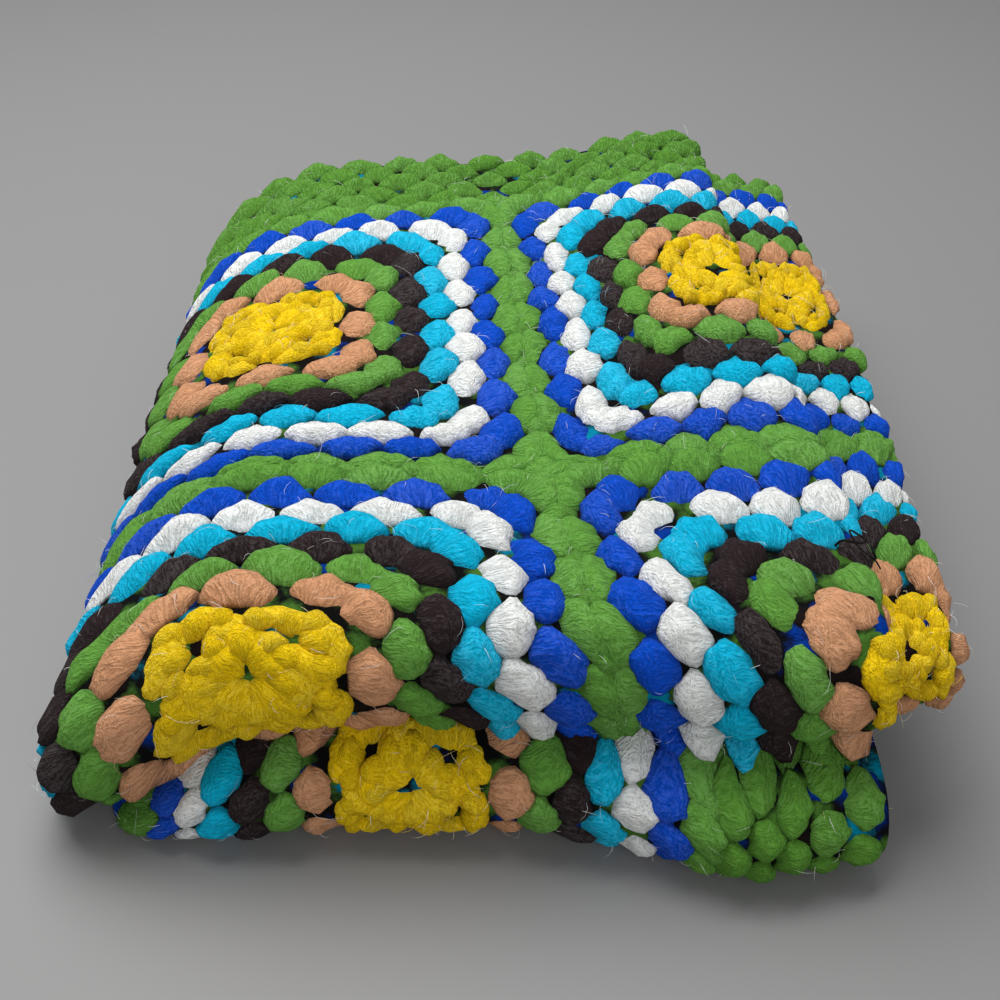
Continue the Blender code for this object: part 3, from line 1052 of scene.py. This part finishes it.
def fibre_paths(mesh, draw):
    """Four-point curved paths of fibres that rise from the plump parts of a piece."""
    plump = np.flatnonzero(read(mesh.attributes["relief"].data, "value") > 0.55)
    chosen = draw.choice(plump, FIBRES)
    start = read(mesh.vertices, "co", 3)[chosen].astype(float)
    normal = read(mesh.vertices, "normal", 3)[chosen].astype(float)
    way = np.cross(normal, draw.normal(size=normal.shape))
    way /= np.linalg.norm(way, axis=1, keepdims=True)
    curl = np.cross(normal, way) * draw.normal(0.0, 0.8, (FIBRES, 1))
    long = draw.uniform(*FIBRE_LENGTHS, (FIBRES, 1))
    rise = draw.uniform(*FIBRE_RISES, (FIBRES, 1))
    steps = [start + long * (way * t + curl * t * t) + normal * rise * up for t, up in FIBRE_STEPS]
    return np.stack(steps, axis=1)


# %% The fibres
draw = np.random.default_rng(FIBRE_SEED)
paths = np.concatenate([fibre_paths(piece.data, draw) for piece in pieces.values()])
paths[:, :, 2] = np.maximum(paths[:, :, 2], 3 * FLOOR_CLEARANCE)
fibre_mesh = tube_mesh("loose_fibres", paths, FIBRE_RADIUS * np.array(FIBRE_THICKNESS), FIBRE_SIDES)
pale_part = draw.uniform(0.0, 1.0, len(paths)) ** 0.5
own = np.repeat([WOOLS[name.split("_")[1]] for name in pieces], FIBRES, axis=0)
tint = own + (np.array(WOOLS["white"]) * 0.9 - own) * pale_part[:, None]
fibre_points = len(FIBRE_STEPS) * FIBRE_SIDES
tint = np.column_stack((np.repeat(tint, fibre_points, axis=0), np.ones(len(paths) * fibre_points)))
stored = fibre_mesh.attributes.new("tint", "FLOAT_COLOR", "POINT")
stored.data.foreach_set("color", tint.astype(np.float32).ravel())
lint = Shader("lint")
tint_of = lint.node("ShaderNodeAttribute", {"attribute_name": "tint"}).outputs["Color"]
fibre_mesh.materials.append(lint.finish(Base_Color=tint_of, Roughness=0.9, Specular_IOR_Level=0.1))
loose_fibres = in_scene("loose_fibres", fibre_mesh)
print("fibres", len(paths), "with", triangles(fibre_mesh), "triangles")

# %% The loose end of yarn
END_COLUMNS = ("across", "along", "rise")
END_CURL = (
    (0.1350, 0.3660, -0.0010), (0.1355, 0.3710, 0.0050), (0.1385, 0.3755, 0.0078), (0.1425, 0.3750, 0.0070),
    (0.1435, 0.3705, 0.0060), (0.1405, 0.3675, 0.0068), (0.1380, 0.3710, 0.0090), (0.1400, 0.3780, 0.0080),
    (0.1440, 0.3825, 0.0064), (0.1455, 0.3870, 0.0054),
)
END_POINTS = 40
END_RADIUS = 0.00055
rows = np.arange(len(END_CURL), dtype=float)
fine = np.linspace(0, len(END_CURL) - 1, END_POINTS)
curl = [smooth_table(rows, column(END_CURL, END_COLUMNS, name), fine) for name in END_COLUMNS]
thin = END_RADIUS * np.linspace(1.0, 0.6, END_POINTS)
end_mesh = tube_mesh("loose_end", on_face("top", *curl)[None], thin, 8)
end_mesh.materials.append(wools["dark"])
loose_end = in_scene("loose_end", end_mesh)
print("loose end with", triangles(end_mesh), "triangles")

# %% [markdown]
# ## The cloth under the clusters
# Between the clusters one looks down on the feet of the stitches and on the sheets below. That ground is one
# thin folded sheet, from open edge to open edge, with all its inner sheets, as the real cloth runs.

# %% The ground sheet
GROUND = 0.0018  # thickness of the ground under the clusters
GROUND_START = 0.006  # the last row of the border reaches past it
RUN_POINTS = 22  # on each straight run across the strip
WRAP_POINTS = 9
TURN_POINTS = 3
STAGE_POINTS = (40, 12, 32, 14, 32, 12, 32)  # on each stage along the strip


def turn_points(centre, radius, start_deg, end_deg, points):
    """Points on a turn, without its ends."""
    angles = np.radians(np.linspace(start_deg, end_deg, points + 2)[1:-1])
    return [(centre[0] + radius * math.cos(a), centre[1] + radius * math.sin(a)) for a in angles]


def section_line(place):
    """The cloth's line across the strip at a place along it, as in the solid but finer."""
    half, small = SHEET / 2, SHEET_STEP / 2
    wrap = left_edge(place) + half + 2 * SHEET_STEP
    top_turn = edge("top_pleat", place) - half - small
    next_turn = edge("next_pleat", place) - half - small
    open_edge = edge("open_edge", place)

    def run(start, end, height):
        return [(x, height) for x in np.linspace(start, end, RUN_POINTS)]

    line = run(open_edge, wrap, -2 * SHEET_STEP)
    line += turn_points((wrap, 0.0), 2 * SHEET_STEP, 270, 90, WRAP_POINTS)
    line += run(wrap, top_turn, 2 * SHEET_STEP)
    line += turn_points((top_turn, 1.5 * SHEET_STEP), small, 90, -90, TURN_POINTS)
    line += run(top_turn, wrap + SHEET_GAP, SHEET_STEP)
    line += turn_points((wrap + SHEET_GAP, 0.5 * SHEET_STEP), small, 90, 270, TURN_POINTS)
    line += run(wrap + SHEET_GAP, next_turn, 0.0)
    line += turn_points((next_turn, -0.5 * SHEET_STEP), small, 90, -90, TURN_POINTS)
    line += run(next_turn, wrap + 2 * SHEET_GAP, -SHEET_STEP)
    return line


# %% The sheet's mesh
stations = []
for start, length, count in zip(STARTS, np.diff(STARTS), STAGE_POINTS):
    stations += list(start + length * np.arange(count) / count)
stations = np.maximum([*stations, STARTS[-1] - 1e-5], GROUND_START)
lines = []
for y, z, faces, place in zip(*strip_place(stations)):
    x, height = np.array(section_line(place)).T
    lines.append(np.column_stack((x, y + height * math.cos(faces), z + height * math.sin(faces))))
ground_grid = np.array(lines)
index = np.arange(ground_grid.shape[0] * ground_grid.shape[1]).reshape(ground_grid.shape[:2])
quads = np.stack((index[:-1, :-1], index[:-1, 1:], index[1:, 1:], index[1:, :-1]), axis=-1).reshape(-1, 4)
ground_mesh = bpy.data.meshes.new("ground")
ground_mesh.from_pydata(ground_grid.reshape(-1, 3).tolist(), [], quads.tolist())
ground = in_scene("ground", ground_mesh)
thick = ground.modifiers.new("ground thickness", "SOLIDIFY")
thick.thickness = GROUND
thick.offset = 0.0
depsgraph = bpy.context.evaluated_depsgraph_get()
sheet_mesh = bpy.data.meshes.new_from_object(ground.evaluated_get(depsgraph))
bpy.data.objects.remove(ground)
move_points(sheet_mesh, settle(read(sheet_mesh.vertices, "co", 3).astype(float)))
sheet_mesh.name = "blanket_sheet"
turned = bmesh.new()
turned.from_mesh(sheet_mesh)
bmesh.ops.recalc_face_normals(turned, faces=turned.faces)
turned.to_mesh(sheet_mesh)
turned.free()
sheet_mesh.shade_smooth()
blanket_sheet = in_scene("blanket_sheet", sheet_mesh)
print("ground sheet", triangles(sheet_mesh), "triangles")


# %% The ground's finish
GROUND_WOOLS = ("green", "dark", "green", "blue", "dark", "green", "turquoise", "green")
# the ground's wools are darkened to this share, as painted shadow
GROUND_SHADE = 0.40
STRAY = 0.006  # how far the patches' edges wander


def ground_wool():
    """What shows between the clusters: feet of stitches in all the wools, darkened as painted shadow."""
    s = Shader("ground wool")
    place = s.node("ShaderNodeTexCoord").outputs["Object"]
    stray = s.node("ShaderNodeTexNoise", sockets={"Vector": place, "Scale": 260.0, "Detail": 3.0})
    astray = s.node("ShaderNodeVectorMath", {"operation": "MULTIPLY_ADD"})
    for socket, value in zip(astray.inputs, (stray.outputs["Color"], (STRAY, STRAY, STRAY), place)):
        s.put(socket, value)
    cells = s.node("ShaderNodeTexVoronoi", {"feature": "F1"}, {"Vector": astray.outputs[0], "Scale": 90.0})
    pick = s.node("ShaderNodeSeparateColor", sockets={"Color": cells.outputs["Color"]})
    ramp = s.node("ShaderNodeValToRGB", sockets={"Fac": pick.outputs[0]})
    ramp.color_ramp.interpolation = "CONSTANT"
    stops = ramp.color_ramp.elements
    stops.remove(stops[1])
    for i, wool in enumerate(GROUND_WOOLS):
        stop = stops[0] if i == 0 else stops.new(i / len(GROUND_WOOLS))
        stop.color = shade(WOOLS[wool], GROUND_SHADE)
    fuzz = s.noise(place, FUZZ_SCALE, 5.0, 0.7)
    # painted shadow: away from the middle of each patch the ground goes near black
    rim = s.step(Value(s, cells.outputs["Distance"]) + fuzz * 0.25, 0.35, 0.85)
    return s.finish(
        Base_Color=s.mix(rim, ramp.outputs[0], (0.004, 0.004, 0.004, 1.0)),
        Roughness=WOOL_ROUGHNESS, Specular_IOR_Level=WOOL_SHINE, Normal=s.bump(0.0014, fuzz - rim * 1.5),
    )


blanket_sheet.data.materials.append(ground_wool())

# %% [markdown]
# ## The floor, the light and the camera
# A plain floor, one large soft light from above, and a weak one from the front so that the folds' noses don't
# go black.

# %% Floor
FLOOR_REACH = 6.0
floor_mesh = bpy.data.meshes.new("floor")
signs = ((-1, -1), (1, -1), (1, 1), (-1, 1))
floor_mesh.from_pydata([(i * FLOOR_REACH, j * FLOOR_REACH, 0) for i, j in signs], [], [(0, 1, 2, 3)])
floor_mesh.materials.append(Shader("floor").finish(Base_Color=(0.20, 0.197, 0.194, 1.0), Roughness=0.55))
floor = in_scene("floor", floor_mesh)
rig.stage(floor)


# %% Light
def soft_light(name, place, aim, size, power):
    """A square soft light that looks at a point."""
    lamp = bpy.data.lights.new(name, "AREA")
    lamp.shape = "SQUARE"
    lamp.size = size
    lamp.energy = power
    holder = in_scene(name, lamp)
    holder.location = place
    way = Vector(aim) - Vector(place)
    holder.rotation_euler = way.to_track_quat("-Z", "Y").to_euler()


STACK_MIDDLE = (0, 0, 0.05)
soft_light("soft light above", (-0.35, 0.45, 1.5), STACK_MIDDLE, 1.3, 35)
soft_light("soft light in front", (0.5, -1.6, 0.9), STACK_MIDDLE, 1.2, 10)
world = bpy.data.worlds.new("studio")
world.use_nodes = True
sky = world.node_tree.nodes["Background"].inputs
sky["Color"].default_value = (0.80, 0.82, 0.86, 1.0)
sky["Strength"].default_value = 0.44
bpy.context.scene.world = world
bpy.context.scene.view_settings.view_transform = "Standard"

# %% Camera
LOOKS_DOWN = 37  # degrees below level
camera = in_scene("camera", bpy.data.cameras.new("camera"))
camera.data.lens = 46.8
camera.data.sensor_width = 36.0
camera.location = (0.001, -0.544, 0.430)
camera.rotation_euler = (math.radians(90 - LOOKS_DOWN), 0.0, 0.0)
bpy.context.scene.camera = camera

# %% [markdown]
# ## What each piece is
# The ground sheet stands for the solid, and the clusters go with it. The sheet's flat size is that of the
# whole blanket before it was folded.

# %% Pieces and their bodies
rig.replaces(blanket_sheet, "blanket")
others = [*pieces.values(), loose_fibres, loose_end]
for piece in [blanket_sheet, *others]:
    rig.ride(piece, "root")
    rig.slot(piece, "crochet_wool")
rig.sheet(blanket_sheet, flat=(1.57, 1.65), held="folded", rests_on=[], with_pieces=others)

# %% Sizes
json.dump(
    {"cad": [list(corner) for corner in cad_box], "visual": [list(corner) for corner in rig.bounds()]},
    open("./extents.json", "w"),
)
print(open("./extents.json").read())
